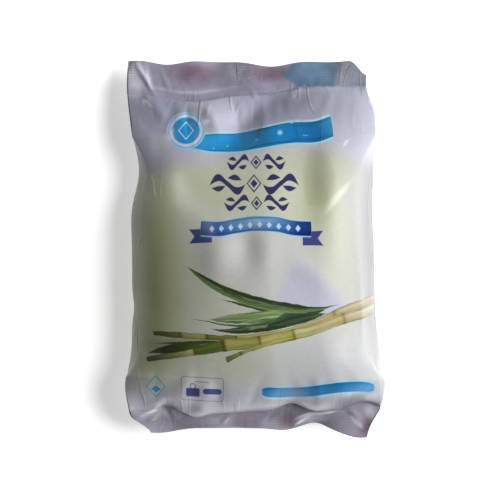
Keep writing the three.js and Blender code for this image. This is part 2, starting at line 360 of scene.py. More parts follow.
def layFields(colours, x, y, fields):
    for centre, reach, turn, strength, hexColour in fields:
        angle = math.radians(turn)
        dx, dy = x - centre[0], y - centre[1]
        across = (dx * math.cos(angle) + dy * math.sin(angle)) / reach[0]
        upwards = (dy * math.cos(angle) - dx * math.sin(angle)) / reach[1]
        colours = blend(colours, hexColour, strength * np.exp(-np.hypot(across, upwards) ** 3))
    return colours


def layFacet(colours, x, y, corners, softness, strength, hexColour):
    share = 1
    for (x1, y1), (x2, y2) in zip(corners, corners[1:] + corners[:1]):
        inside = ((x2 - x1) * (y - y1) - (y2 - y1) * (x - x1)) / math.hypot(x2 - x1, y2 - y1)
        share = share * smoothstep(inside, -softness, softness)
    return blend(colours, hexColour, strength * share)


# Colour and denseness of the film at each point, with painted shade and painted highlights laid into the colour:
# dense where ink backs it, milky where the film is bare
def filmTint(share, x, y, bareFrom=filmLook["bareFrom"]):
    look = filmLook
    colours = np.tile(np.array(linearColour(look["white"]))[:3], (len(x), 1))
    colours = layFields(colours, x, y, softFields)
    colours = layFacet(colours, x, y, *facets["lilac"])
    slackEdge = look["slackFrom"] + 5 * np.sin(x / 24) - 6 * smoothstep(np.abs(x), 42, 62)
    colours = blend(colours, look["slack"], 0.9 * smoothstep(y - slackEdge, -6, 7))
    colours = blend(colours, look["foot"], smoothstep(y, *look["footEdge"]))
    # painted shade beside the ornament, then a painted highlight streak beside it
    colours = layFacet(colours, x, y, *facets["shadeBesideOrnament"])
    colours = layFacet(colours, x, y, *facets["shine"])
    # painted shade and highlights of the slack film and the belly's foot
    colours = layFields(colours, x, y, slackShadeAndHighlights)
    inTop, inBottom = y - outlineAt("topLine", x), outlineAt("bottomLine", x) - y
    colours = blend(colours, look["topSeal"], smoothstep(inTop, *look["topEdge"]))
    colours = blend(colours, look["bottomSeal"], smoothstep(inBottom, *look["bottomEdge"]))
    colours = blend(colours, look["sealLine"], 0.5 * bell(inTop, 0.2, 0.8) * smoothstep(x, 20, -10))
    colours = blend(colours, look["sealGlint"], 0.7 * bell(inTop, 5.2, 1) * bell(x, -38, 26))
    # the back's print in the seals, with painted shade and highlights
    colours = layFields(colours, x, y, [(centre, reach, 0, *rest) for centre, reach, *rest in sealPrintShadeAndHighlights])
    colours = layFacet(colours, x, y, *facets["blue"])
    # Painted highlights along the crests of sharp creases
    paintedHighlightShare = np.where(y > 0, look["topPaintedHighlight"], look["footPaintedHighlight"])
    sharpness = smoothstep(foldRelief(x, y, creases), 0.5, 1.6)
    colours = blend(colours, look["paintedCreaseHighlight"], paintedHighlightShare * sharpness)
    bare = look["bareClearness"] * smoothstep(np.abs(share), bareFrom, bareFrom + 0.4)
    seal = look["sealClearness"] * np.maximum(smoothstep(inTop, 0.5, 3), smoothstep(inBottom, 0, 2))
    dense = 1 - np.maximum(bare, seal)
    return np.concatenate([colours, dense[:, None]], axis=1)


def deselectAll():
    if bpy.context.object and bpy.context.object.mode != "OBJECT":
        bpy.ops.object.mode_set(mode="OBJECT")
    bpy.ops.object.select_all(action="DESELECT")


# A grid primitive whose points shape() puts in place, with the flat print's places as its UV map
def gridSheet(name, columns, rows, shape, tint=None):
    deselectAll()
    bpy.ops.mesh.primitive_grid_add(x_subdivisions=len(columns) - 1, y_subdivisions=len(rows) - 1, size=2)
    sheet = bpy.context.object
    sheet.name = name
    flat = np.zeros(len(sheet.data.vertices) * 3)
    sheet.data.vertices.foreach_get("co", flat)
    flat = flat.reshape(-1, 3)
    column = np.rint((flat[:, 0] + 1) / 2 * (len(columns) - 1)).astype(int)
    row = np.rint((flat[:, 1] + 1) / 2 * (len(rows) - 1)).astype(int)
    points, printX, printY = shape(columns[column], rows[row])
    sheet.data.vertices.foreach_set("co", (points * mm).ravel())
    sheet.data.update()
    corner = np.zeros(len(sheet.data.loops), int)
    sheet.data.loops.foreach_get("vertex_index", corner)
    places = np.stack([printX[corner], printY[corner]], axis=-1) * mm
    sheet.data.uv_layers.active.name = "flatPrint"
    sheet.data.uv_layers.active.data.foreach_set("uv", places.ravel())
    if tint:
        colours = sheet.data.color_attributes.new("filmTint", "FLOAT_COLOR", "POINT")
        colours.data.foreach_set("color", tint(columns[column], printX, printY).ravel())
    return sheet


# Joins the two sheets and bridges them all round
def closeSkin(front, back, name):
    deselectAll()
    back.select_set(True)
    bpy.context.view_layer.objects.active = back
    bpy.ops.object.mode_set(mode="EDIT")
    bpy.ops.mesh.select_all(action="SELECT")
    bpy.ops.mesh.flip_normals()
    bpy.ops.object.mode_set(mode="OBJECT")
    front.select_set(True)
    bpy.context.view_layer.objects.active = front
    bpy.ops.object.join()
    bpy.ops.object.mode_set(mode="EDIT")
    bpy.ops.mesh.select_mode(type="EDGE")
    bpy.ops.mesh.select_all(action="DESELECT")
    bpy.ops.mesh.select_non_manifold(use_wire=False, use_boundary=True, use_multi_face=False,
                                     use_non_contiguous=False, use_verts=False)
    bpy.ops.mesh.bridge_edge_loops()
    bpy.ops.mesh.select_all(action="SELECT")
    bpy.ops.mesh.normals_make_consistent(inside=False)
    bpy.ops.mesh.select_all(action="DESELECT")
    bpy.ops.object.mode_set(mode="OBJECT")
    bpy.ops.object.shade_smooth()
    front.name = front.data.name = name
    return front


puckers = puckerLines()
backPrintShift = 300  # the back's print lies this far below the front's in the UV map


def filmBack(share, y):
    points, printX, printY = sheetPoints(share, y, False)
    return points, printX, printY - backPrintShift


def backTint(share, printX, printY):
    return filmTint(share, printX, printY + backPrintShift, filmLook["backBareFrom"])


filmColumns = columnPlaces(weave["gussetColumns"], weave["frontColumns"])
filmRows = rowPlaces(weave["sealRows"], weave["bodyRows"])
film = closeSkin(gridSheet("film", filmColumns, filmRows, lambda share, y: sheetPoints(share, y, True), filmTint),
                 gridSheet("filmBack", filmColumns, filmRows, filmBack, backTint), "film")
print("film skin:", len(film.data.polygons), "faces")


# The sugar inside: it follows the bag a little way in, stops short of the tucks of its gussets, and leaves the
# film slack towards the top seal
sugarFill = {
    "gap": 0.7, "sideGap": 1.2, "halfWidth": 66,  # gaps to the film, in a bag about this wide to either side
    "leastDepth": 0.3, "tuckReach": 3,
    "slackDrop": 7, "slackFrom": 52, "slackTo": 86, "slackShare": 0.7,  # it drops by this share at most
    "bottomEnd": -91.5, "topEnd": 84, "gussetColumns": 8, "frontColumns": 84, "rows": 120,
}


def sugarShape(share, y, isFront):
    fill = sugarFill
    side = np.sign(share)
    outwards = np.clip(np.abs(share) - 1, 0, 1)
    reach = gussetReach(y, np.where(side < 0, bag["leftBulge"], bag["rightBulge"]))
    tuck = -np.minimum(gussetReach(y, 0), gussetReach(y + fill["tuckReach"], 0))
    across = np.clip(share, -1, 1) * (1 - (fill["sideGap"] + tuck) / fill["halfWidth"])
    front, printX, printY = sheetPoints(across, y, True)
    back = sheetPoints(across, y, False)[0]
    slack = fill["slackDrop"] * smoothstep(y, fill["slackFrom"], fill["slackTo"])
    room = np.maximum(front[:, 2] - back[:, 2] - 2 * fill["gap"], fill["leastDepth"])
    low = back[:, 2] + fill["gap"]
    high = low + room - np.minimum(slack, room * fill["slackShare"])
    x = front[:, 0] + side * np.maximum(0, reach) * np.sin(outwards * math.pi / 2)
    z = lerp(high if isFront else low, (low + high) / 2, outwards)
    return np.stack([x, front[:, 1], z], axis=-1), printX, printY


sugarColumns = columnPlaces(sugarFill["gussetColumns"], sugarFill["frontColumns"])
sugarRows = np.linspace(sugarFill["bottomEnd"], sugarFill["topEnd"], sugarFill["rows"] + 1)
sugar = closeSkin(gridSheet("sugar", sugarColumns, sugarRows, lambda share, y: sugarShape(share, y, True)),
                  gridSheet("sugarBack", sugarColumns, sugarRows, lambda share, y: sugarShape(share, y, False)),
                  "sugar")
print("sugar:", len(sugar.data.polygons), "faces")


# A node with its settings, and its inputs as values or as links from other nodes' outputs
def addNode(tree, kind, inputs=None, **settings):
    node = tree.nodes.new("ShaderNode" + kind)
    for setting, value in settings.items():
        setattr(node, setting, value)
    for socket, value in (inputs or {}).items():
        if isinstance(value, bpy.types.NodeSocket):
            tree.links.new(value, node.inputs[socket])
        else:
            node.inputs[socket].default_value = value
    return node


def newMaterial(name):
    material = bpy.data.materials.new(name)
    material.use_nodes = True
    material.node_tree.nodes.clear()
    return material, material.node_tree


# Three rows of ornament: a lozenge in the middle of each, and brush strokes curling away on both sides of it
ornament = {
    # centre, half length, half height, and 1 where its strokes first rise or -1 where they fall
    "rows": [(0.9, 50.4, 17.6, 4.7, 1), (-0.3, 37.8, 26.6, 6, -1), (1.2, 26.2, 19.4, 4.7, 1)],
    "colour": "2c2e54", "outline": 1.2,
    # in shares of the half height, as are the strokes' heights and widths
    "lozenge": (0.78, 0.98), "core": (0.4, 0.5), "strokesFrom": 0.75,
    "strokes": [([(0, 0), (0.22, 0.72), (0.5, 0), (0.74, -0.62), (1, 0.25)], [0, 0.42, 0.34, 0.4, 0]),
                ([(0.1, -0.3), (0.3, -0.62), (0.52, -0.55)], [0, 0.33, 0]),
                ([(0.52, 0.18), (0.72, 0.5), (0.94, 0.43)], [0, 0.31, 0])],
}
ribbonBeads = {"count": 10, "from": -24.6, "step": 5.5, "level": 11.3, "crest": (2.6, 3, 15), "half": (1.9, 2.5)}


def ornamentRow(middleX, middleY, reach, height, rise):
    navy, start = ornament["colour"], height * ornament["strokesFrom"]
    lozenge, core = [[height * share for share in ornament[part]] for part in ("lozenge", "core")]
    row = [{"lozenge": (middleX, middleY), "half": lozenge, "outline": ornament["outline"], "colour": navy},
           {"lozenge": (middleX, middleY), "half": core, "colour": navy}]
    for side in (-1, 1):
        for points, widths in ornament["strokes"]:
            path = [(middleX + side * lerp(start, reach, x), middleY + rise * height * y) for x, y in points]
            row.append({"path": path, "halfWidth": [height * width for width in widths], "colour": navy})
    return row


def ribbonBead(i):
    height, middle, spread = ribbonBeads["crest"]
    x = ribbonBeads["from"] + ribbonBeads["step"] * i
    y = ribbonBeads["level"] + height * bell(x, middle, spread)
    return {"lozenge": (x, y), "half": ribbonBeads["half"], "soft": 0.7, "colour": "a6c0de"}


# The print of the front, in millimetres on the flat print, laid in this order. A swept ink runs along a path and
# has half widths along it; a plate is a box, disc or lozenge, full or as an outline, and its corners are as round
# as they can be, or have a radius. "across" colours run over the width from its right-hand edge, and "along"
# colours down the length. Painted inks have wavering edges.
caneShade = [(0, "a8a8a8"), (0.2, "e6e6e6"), (0.34, "d2d2d2"), (0.6, "ffffff"), (0.8, "e4e4e4"), (1, "b4b4b4")]
paintedInks = [
    # canes, with their joints
    {"path": [(-59.7, -49.7), (-35.9, -50.5), (-12.2, -51.2), (11, -48.3), (33.7, -42.4), (55.9, -33.4),
              (78.7, -28.4), (96, -24.5)],
     "halfWidth": [1.6, 2, 1.8, 1.7, 1.7, 2.2, 2.5, 2.6, 2.6],
     "along": [(0, "37321a"), (0.03, "57552f"), (0.095, "6f6d42"), (0.103, "56491f"), (0.115, "94925a"),
               (0.19, "929156"), (0.2, "5c4a22"), (0.215, "6b6f38"), (0.3, "757a40"), (0.305, "4e421d"),
               (0.315, "9a965c"), (0.4, "9b9659"), (0.66, "a59c70"), (0.672, "8a7548"), (0.685, "aaa07c"),
               (0.85, "a39a86"), (1, "968f80")],
     "across": caneShade},
    {"path": [(-64, -65.4), (-40.2, -60.5), (-16.3, -55.7), (7.8, -52.3), (31.5, -46.8), (54.7, -39),
              (78.5, -34), (96, -30.4)],
     "halfWidth": [1.6, 2.4, 3.4, 3.6, 3.5, 3.3, 3.4, 3.5, 3.5],
     "along": [(0, "403f20"), (0.05, "626041"), (0.12, "8c895b"), (0.172, "aaa674"), (0.18, "6b5228"),
               (0.19, "57652a"), (0.28, "5f6f30"), (0.29, "54401c"), (0.3, "a29f5c"), (0.36, "969450"),
               (0.408, "8e8c48"), (0.415, "6a5522"), (0.425, "a8a05e"), (0.53, "92944f"), (0.537, "705c28"),
               (0.547, "b2af78"), (0.66, "aea374"), (0.712, "a89a6c"), (0.72, "877244"), (0.73, "a89c7c"),
               (0.85, "a8a292"), (1, "968f80")],
     "across": caneShade},
    {"path": [(-16.4, -64.2), (-4.5, -58.6), (8, -54.4), (26, -50)], "halfWidth": [1.9, 1.4, 1.3, 1, 0],
     "along": [(0, "5f6038"), (0.18, "7e804c"), (0.22, "5e5a30"), (0.25, "939358"), (0.7, "9d9c5d"), (1, "9d9c5d")],
     "across": caneShade},
    # leaves, from the lowest up, over a blurred green ground
    {"path": [(-16, -39.5), (2, -40), (16, -40), (30, -38.6), (41, -36.6)], "halfWidth": [0, 4, 6, 5.4, 3, 0],
     "soft": 2.4, "along": [(0, "93a68c"), (0.35, "7b9370"), (0.6, "4a6142"), (1, "32462e")],
     "across": [(0, "c8c8c8"), (0.5, "ffffff"), (1, "e0e0e0")]},
    {"path": [(-64.1, -62), (-52.6, -59.1), (-40.9, -57), (-29.1, -55.2)], "halfWidth": [0, 2, 2.9, 2.5, 0],
     "along": [(0, "56582c"), (0.3, "34361a"), (0.6, "3a4a1e"), (1, "55662c")],
     "across": [(0, "b0b0b0"), (0.3, "ffffff"), (0.6, "d8d8d8"), (1, "ffffff")]},
    {"path": [(-65.4, -56), (-51.2, -55.2), (-37.3, -54.4), (-16, -53.2)], "halfWidth": [0, 0.4, 1, 1.3, 1, 0],
     "across": [(0, "3c4c1b"), (0.6, "34401c"), (1, "6b7a40")]},
    {"path": [(-22.2, -28.6), (-8, -31.8), (6, -35.2), (20, -38), (31, -38.6)],
     "halfWidth": [0, 0.8, 1.2, 1.4, 1.2, 0], "across": [(0, "3f5030"), (0.5, "33421f"), (1, "5f7247")]},
    {"path": [(-27.4, -41), (-14.5, -40.4), (-1.5, -39.5), (11, -38), (26, -37.4)],
     "halfWidth": [0, 2.2, 3.1, 3.1, 2, 0],
     "across": [(0, "2d4020"), (0.2, "4f663b"), (0.34, "93a780"), (0.46, "5f7544"), (0.62, "6d804f"),
                (0.82, "87976a"), (1, "4a5936")]},
    {"path": [(-42.8, -39.7), (-27, -42), (-17.1, -43.8), (-4, -44.2), (10, -41.2), (20, -39)],
     "halfWidth": [0, 0.45, 0.7, 1.1, 1, 0], "across": [(0, "2c3f22"), (0.5, "3a5230"), (1, "57704a")]},
    {"path": [(-27.3, -45.7), (-15.6, -47.3), (-4.2, -46.3), (7, -44.4), (18.3, -41.9), (29.5, -39.6), (42, -36.6)],
     "halfWidth": [0, 1.2, 2.2, 2.8, 3.2, 3, 2.2, 0],
     "across": [(0, "2f3d1c"), (0.3, "222f18"), (0.5, "33452a"), (0.6, "73876c"), (0.68, "2f4026"), (1, "465a3c")]},
    {"path": [(6, -44.5), (18, -40.6), (30, -37.4), (41, -34.6)], "halfWidth": [0, 2.6, 4.4, 4, 2, 0],
     "across": [(0, "26351f"), (0.3, "3a4d33"), (0.45, "22301f"), (0.7, "34483a"), (1, "4a5f50")]},
    {"path": [(-40.6, -9.4), (-26.7, -19.2), (-12.4, -26.2), (2.5, -30.8), (17.5, -33.6), (32.9, -34.6), (50, -31.4)],
     "halfWidth": [0, 2.2, 2.9, 3.4, 3.3, 2.9, 1.4, 0],
     "across": [(0, "7c8762"), (0.2, "5c6e45"), (0.38, "435533"), (0.5, "62764f"), (0.58, "2f3e20"), (0.86, "25331a"),
                (1, "445232")]},
]
crispInks = [
    # the wavy band, with pale sparkles
    {"path": [(-38, 62.6), (-23, 62.5), (-8.4, 63), (4.5, 65.2), (20.9, 68.1), (34.5, 68.6), (46, 72.3)],
     "halfWidth": [3.4, 5.4, 5.8, 6, 6.2, 6.5, 6.6, 6.6], "halo": 1.7,
     "along": [(0, "2a8cc0"), (0.3, "1f7cb2"), (0.5, "1a6694"), (0.62, "1a75ab"), (0.8, "166399"), (0.9, "15598c"),
               (1, "2d7a9e")],
     "across": [(0, "c0c0c0"), (0.2, "ffffff"), (0.85, "ffffff"), (1, "c8c8c8")]},
    {"centre": (15, 68.3), "half": (2, 2), "colour": "7fb6d2", "soft": 1.2},
    {"centre": (22.1, 75), "half": (1.6, 1.6), "colour": "93bcd4", "soft": 1},
    {"centre": (-16, 60.5), "half": (1.1, 1.1), "colour": "66a8cc", "soft": 1},
    {"centre": (-24, 59), "half": (0.9, 0.9), "colour": "66a8cc", "soft": 0.9},
    {"centre": (1.5, 64), "half": (1.4, 0.8), "colour": "4d9bc4", "soft": 0.8},
    {"centre": (30, 66.5), "half": (1.8, 0.7), "colour": "4494bf", "soft": 0.7},
    *[ink for row in ornament["rows"] for ink in ornamentRow(*row)],
    # the ribbon: two swallow tails behind, then its body and the beads along it
    {"path": [(-38.4, 7), (-24.6, 7.6)], "halfWidth": [4.5, 4.3, 4.3, 4.3], "notch": 3.2, "colour": "1c3268"},
    {"path": [(39.8, 6), (27.5, 5.8)], "halfWidth": [4.6, 4.4, 4.3, 4.3], "notch": 3.2, "colour": "3a3d78"},
    {"path": [(-31.3, 11.9), (-21.5, 11.3), (-10.5, 13), (0.9, 14.4), (12.5, 13.9), (22, 11.9), (32.7, 11.3)],
     "halfWidth": [4.4, 4.4, 4.4, 4.4], "halo": 0.9,
     "along": [(0, "1b3f7e"), (0.12, "23508e"), (0.3, "5880a8"), (0.5, "86a1b8"), (0.7, "587eaa"), (0.88, "1c4080"),
               (1, "163068")],
     "across": [(0, "7c90b8"), (0.3, "bccbe4"), (0.75, "f6f9ff"), (1, "9cb0d0")]},
    *[ribbonBead(i) for i in range(ribbonBeads["count"])],
    # a medallion beside the band
    {"centre": (-40.5, 70), "half": (11, 11), "halo": 0.8, "colour": "5d9dc2"},
    {"centre": (-40.5, 70), "half": (10.2, 10.2), "colour": "b2b6c9"},
    {"centre": (-40.5, 70), "half": (8.4, 8.4), "colour": "1f7cb2"},
    {"lozenge": (-40.5, 70), "half": (5, 6), "outline": 0.9, "colour": "a9cbe0"},
    # foot of the front: lozenge ring, weight mark and plain bar
    {"lozenge": (-58, -81), "half": (6.2, 7.2), "outline": 0.9, "colour": "2f8fa6"},
    {"lozenge": (-58, -82.6), "half": (3.4, 2.6), "colour": "3f86b4"},
    {"centre": (-30.5, -82), "half": (12.6, 7.4), "corner": 1.8, "outline": 0.55, "turn": -2, "colour": "464a78"},
    {"centre": (-36, -84), "half": (4.2, 2.9), "corner": 1, "turn": -2, "colour": "3d3f72"},
    {"centre": (-36, -80.2), "half": (2, 2), "outline": 0.9, "colour": "3d3f72"},
    {"centre": (-24.6, -83.4), "half": (5.8, 2), "turn": -2, "colour": "434678"},
    {"centre": (-30.5, -77.6), "half": (4.4, 0.5), "turn": -2, "colour": "6a6c94"},
    {"path": [(4.3, -83.2), (18, -83.8), (30, -83.2), (42, -81.4), (52, -80.3), (60.5, -80.2), (70, -81.2)],
     "halfWidth": [2.2, 3.2, *[3.4] * 20, 3.2, 2.2], "halo": 2.1,
     "along": [(0, "0d74aa"), (0.45, "0a6fa6"), (0.7, "0a669c"), (0.8, "0c75b0"), (1, "1686c6")],
     "across": [(0, "e4e4e4"), (0.4, "ffffff"), (0.7, "ffffff"), (1, "d8d8d8")]},
]


def ramp(tree, factor, stops):
    node = addNode(tree, "ValToRGB", {"Fac": factor})
    elements = node.color_ramp.elements
    elements[0].position, elements[1].position = stops[0][0], stops[-1][0]
    for position, _ in stops[1:-1]:
        elements.new(position)
    for element, (_, hexColour) in zip(elements, stops):
        element.color = linearColour(hexColour)
    return node.outputs["Color"]


def calculate(tree, operation, *values, kind="Math"):
    return addNode(tree, kind, dict(enumerate(values)), operation=operation).outputs[0]


def softStep(tree, value, low, high):
    inputs = {"Value": value, "From Min": low, "From Max": high}
    return addNode(tree, "MapRange", inputs, interpolation_type="SMOOTHSTEP").outputs[0]


def mix(tree, share, under, over, blendType="MIX"):
    node = addNode(tree, "Mix", {"Factor": share}, data_type="RGBA", blend_type=blendType)
    for socket, colour in ((node.inputs[6], under), (node.inputs[7], over)):
        if isinstance(colour, bpy.types.NodeSocket):
            tree.links.new(colour, socket)
        else:
            socket.default_value = colour
    return node.outputs[2]


# The place on the print seen from a shape's own corner or middle, along its own directions and in its own scale
def localPlace(tree, place, corner, turn=0, scale=(1, 1)):
    inputs = {"Vector": place, "Location": (*corner, 0), "Rotation": (0, 0, turn), "Scale": (*scale, 1)}
    return addNode(tree, "Mapping", inputs, vector_type="TEXTURE").outputs[0]


# A curve through points, with straight runs at its ends. Where an end isn't zero it's cut off square.
def curveThrough(tree, factor, points, squareEnds):
    ends = []
    if squareEnds and points[0][1] > 0:
        points = [(0, 0), (0.004, points[0][1]), *points[1:]]
        ends = [0, 1]
    if squareEnds and points[-1][1] > 0:
        points = [*points[:-1], (0.996, points[-1][1]), (1, 0)]
        ends += [len(points) - 2, len(points) - 1]
    node = addNode(tree, "FloatCurve", {"Value": factor})
    curve = node.mapping.curves[0]
    curve.points[0].location, curve.points[1].location = points[0], points[-1]
    for point in points[1:-1]:
        curve.points.new(*point)
    for i, point in enumerate(curve.points):
        point.handle_type = "VECTOR" if i in (0, len(points) - 1, *ends) else "AUTO_CLAMPED"
    node.mapping.update()
    return node.outputs[0]


press = {
    "edge": 0.5, "halo": "8fb7c8", "strip": 40,  # a swept ink is worked out in a strip this wide
    "fibreStretch": 0.05, "fibreFineness": 1.1, "fibreShift": 0.9,  # fibres along it draw its colours aside
    "notchEdge": 0.06,
}


# Each of these gives how deep a place lies inside the shape, in its own unit, and that unit in millimetres
def sweptDepth(tree, place, ink):
    (x1, y1), (x2, y2) = ink["path"][0], ink["path"][-1]
    length, turn, span = math.hypot(x2 - x1, y2 - y1), math.atan2(y2 - y1, x2 - x1), press["strip"]
    corner = (x1 + span / 2 * math.sin(turn), y1 - span / 2 * math.cos(turn))
    axes = addNode(tree, "SeparateXYZ", {0: localPlace(tree, place, corner, turn, (length, span))})
    along, upwards = axes.outputs[0], axes.outputs[1]
    line = []
    for x, y in ink["path"]:
        ahead = (x - x1) * math.cos(turn) + (y - y1) * math.sin(turn)
        aside = (y - y1) * math.cos(turn) - (x - x1) * math.sin(turn)
        line.append((ahead / length, aside / span + 0.5))
    widths = [(i / (len(ink["halfWidth"]) - 1), width / span) for i, width in enumerate(ink["halfWidth"])]
    offset = calculate(tree, "SUBTRACT", upwards, curveThrough(tree, along, line, False))
    halfWidth = curveThrough(tree, along, widths, True)
    distance = calculate(tree, "ABSOLUTE", offset)
    depth = calculate(tree, "SUBTRACT", halfWidth, distance)
    if "notch" in ink:  # a swallow tail, cut out of the path's first end
        cut = calculate(tree, "DIVIDE", distance, halfWidth)
        reach = calculate(tree, "MULTIPLY_ADD", along, length / ink["notch"], cut)
        edge = press["notchEdge"]
        depth = calculate(tree, "MINIMUM", depth, calculate(tree, "MULTIPLY_ADD", reach, edge, -edge))
    fibre = addNode(tree, "CombineXYZ", {
        0: calculate(tree, "MULTIPLY", along, length * press["fibreStretch"]),
        1: calculate(tree, "MULTIPLY", offset, span * press["fibreFineness"])}).outputs[0]
    fibres = addNode(tree, "TexNoise", {"Vector": fibre, "Scale": 1.0, "Detail": 2.0}).outputs[0]
    shift = press["fibreShift"]
    drawn = calculate(tree, "MULTIPLY_ADD", fibres, shift, (1 - shift) / 2)
    side = calculate(tree, "DIVIDE", offset, halfWidth)
    return depth, span, along, calculate(tree, "MULTIPLY_ADD", side, 0.5, drawn)


def plateDepth(tree, place, ink):
    corner = ink.get("corner", min(ink["half"]))
    local = localPlace(tree, place, ink["centre"], math.radians(ink.get("turn", 0)))
    folded = calculate(tree, "ABSOLUTE", local, kind="VectorMath")
    core = (ink["half"][0] - corner, ink["half"][1] - corner, 0)
    beyond = calculate(tree, "SUBTRACT", folded, core, kind="VectorMath")
    beyond = calculate(tree, "MAXIMUM", beyond, kind="VectorMath")
    distance = addNode(tree, "VectorMath", {0: beyond}, operation="LENGTH").outputs["Value"]
    return calculate(tree, "SUBTRACT", corner, distance), 1


def lozengeDepth(tree, place, ink):
    halfX, halfY = ink["half"]
    folded = calculate(tree, "ABSOLUTE", localPlace(tree, place, ink["lozenge"]), kind="VectorMath")
    reach = addNode(tree, "VectorMath", {0: folded, 1: (1 / halfX, 1 / halfY, 0)},
                    operation="DOT_PRODUCT").outputs["Value"]
    return calculate(tree, "SUBTRACT", 1, reach), halfX * halfY / math.hypot(halfX, halfY)


def layInk(tree, place, under, ink):
    if "path" in ink:
        depth, unit, along, across = sweptDepth(tree, place, ink)
    elif "lozenge" in ink:
        depth, unit = lozengeDepth(tree, place, ink)
    else:
        depth, unit = plateDepth(tree, place, ink)
    if "halo" in ink:  # a pale blurred rim
        under = mix(tree, softStep(tree, depth, -ink["halo"] / unit, 0), under, linearColour(press["halo"]))
    soft = ink.get("soft", press["edge"])
    if "outline" in ink:
        soft = min(soft, ink["outline"] / 2)
        middle = ink["outline"] / 2 / unit
        fromMiddle = calculate(tree, "ABSOLUTE", calculate(tree, "SUBTRACT", depth, middle))
        depth = calculate(tree, "SUBTRACT", middle, fromMiddle)
    mask = softStep(tree, depth, 0, soft / unit)
    colour = linearColour(ink["colour"]) if "colour" in ink else None
    if "along" in ink:
        colour = ramp(tree, along, ink["along"])
    if "across" in ink:
        shade = ramp(tree, across, ink["across"])
        colour = mix(tree, 1.0, colour, shade, "MULTIPLY") if colour else shade
    return mix(tree, mask, under, colour)


filmFinish = {
    "ior": 1.5, "bumpStrength": 0.5, "bumpDepth": 0.5,
    "printedRoughness": (0.26, 0.38), "milkyRoughness": (0.24, 0.38),
    "waver": (1.2, 1.2, 0),  # how far the edges of painted inks waver
    "pebbles": 0.05, "ribs": 0.12, "ribPitch": 1.7, "ribsFrom": (96, 98),
    "slackMiddle": 4, "slackSides": (54, 72), "slackTop": (52, 74), "slackFoot": (-80, -92),
    "wrinkleWidth": 0.06, "wrinkledShare": (0.42, 0.62),
}


# Place on the flat print, in millimetres
def flatPlace(tree):
    flat = addNode(tree, "UVMap", uv_map="flatPrint").outputs[0]
    return addNode(tree, "VectorMath", {0: flat, "Scale": 1 / mm}, operation="SCALE").outputs[0]


# Wrinkles of the slack film as a height: a few long creases running along one direction, in scattered places
def wrinkleHeight(tree, place, turn, scale):
    turned = addNode(tree, "Mapping", {
        "Vector": place, "Rotation": (0, 0, math.radians(turn)), "Scale": (*scale, 1)}).outputs[0]
    noise = addNode(tree, "TexNoise", {
        "Vector": turned, "Scale": 1.0, "Detail": 1.0, "Roughness": 0.4, "Distortion": 0.9}).outputs[0]
    ridge = calculate(tree, "ABSOLUTE", calculate(tree, "SUBTRACT", noise, 0.5))
    crest = calculate(tree, "SUBTRACT", 1, softStep(tree, ridge, 0, filmFinish["wrinkleWidth"]))
    scatter = addNode(tree, "TexNoise", {"Vector": place, "Scale": 0.045, "Detail": 1.0}).outputs[0]
    return calculate(tree, "MULTIPLY", crest, softStep(tree, scatter, *filmFinish["wrinkledShare"]))


# The surface of a material: a bump from a height, and a roughness that follows a grain
def addSurface(tree, finish, colour, height, grain, roughness, alpha=1.0):
    bump = addNode(tree, "Bump", {
        "Height": height, "Strength": finish["bumpStrength"], "Distance": finish["bumpDepth"] * mm}).outputs[0]
    low, high = roughness
    gloss = addNode(tree, "MapRange", {"Value": grain, "To Min": low, "To Max": high}).outputs[0]
    shader = addNode(tree, "BsdfPrincipled", {
        "Base Color": colour, "Roughness": gloss, "IOR": finish["ior"], "Alpha": alpha, "Normal": bump})
    addNode(tree, "OutputMaterial", {"Surface": shader.outputs[0]})


def printedFilm():
    # Polyethylene film, flexo printed inside: crisp inks under a smooth, slightly glossy skin that the sugar
    # behind it makes faintly pebbled
    material, tree = newMaterial("printedPolyethyleneFilm")
    place = flatPlace(tree)
    waver = addNode(tree, "TexNoise", {"Vector": place, "Scale": 0.3, "Detail": 3.0}).outputs["Color"]
    waver = calculate(tree, "SUBTRACT", waver, (0.5, 0.5, 0.5), kind="VectorMath")
    painted = calculate(tree, "MULTIPLY_ADD", waver, filmFinish["waver"], place, kind="VectorMath")
    colour = addNode(tree, "VertexColor", layer_name="filmTint").outputs["Color"]
    for ink in paintedInks:
        colour = layInk(tree, painted, colour, ink)
    for ink in crispInks:
        colour = layInk(tree, place, colour, ink)
    mottle = addNode(tree, "TexNoise", {"Vector": place, "Scale": 0.35, "Detail": 3.0}).outputs[0]
    colour = mix(tree, 1.0, colour, ramp(tree, mottle, [(0.3, "f9f9f9"), (0.7, "ffffff")]), "MULTIPLY")
    pebbles = addNode(tree, "TexNoise", {"Vector": place, "Scale": 0.9, "Detail": 2.0}).outputs[0]
    axes = addNode(tree, "SeparateXYZ", {0: place})
    offMiddle = calculate(tree, "ABSOLUTE", calculate(tree, "ADD", axes.outputs[0], -filmFinish["slackMiddle"]))
    slack = softStep(tree, offMiddle, *filmFinish["slackSides"])
    for level in ("slackTop", "slackFoot"):
        slack = calculate(tree, "MAXIMUM", slack, softStep(tree, axes.outputs[1], *filmFinish[level]))
    wrinkles = calculate(tree, "MULTIPLY", slack, wrinkleHeight(tree, place, 8, (0.075, 0.016)))
    height = calculate(tree, "MULTIPLY_ADD", pebbles, filmFinish["pebbles"], wrinkles)
    addSurface(tree, filmFinish, colour, height, mottle, filmFinish["printedRoughness"])
    return material


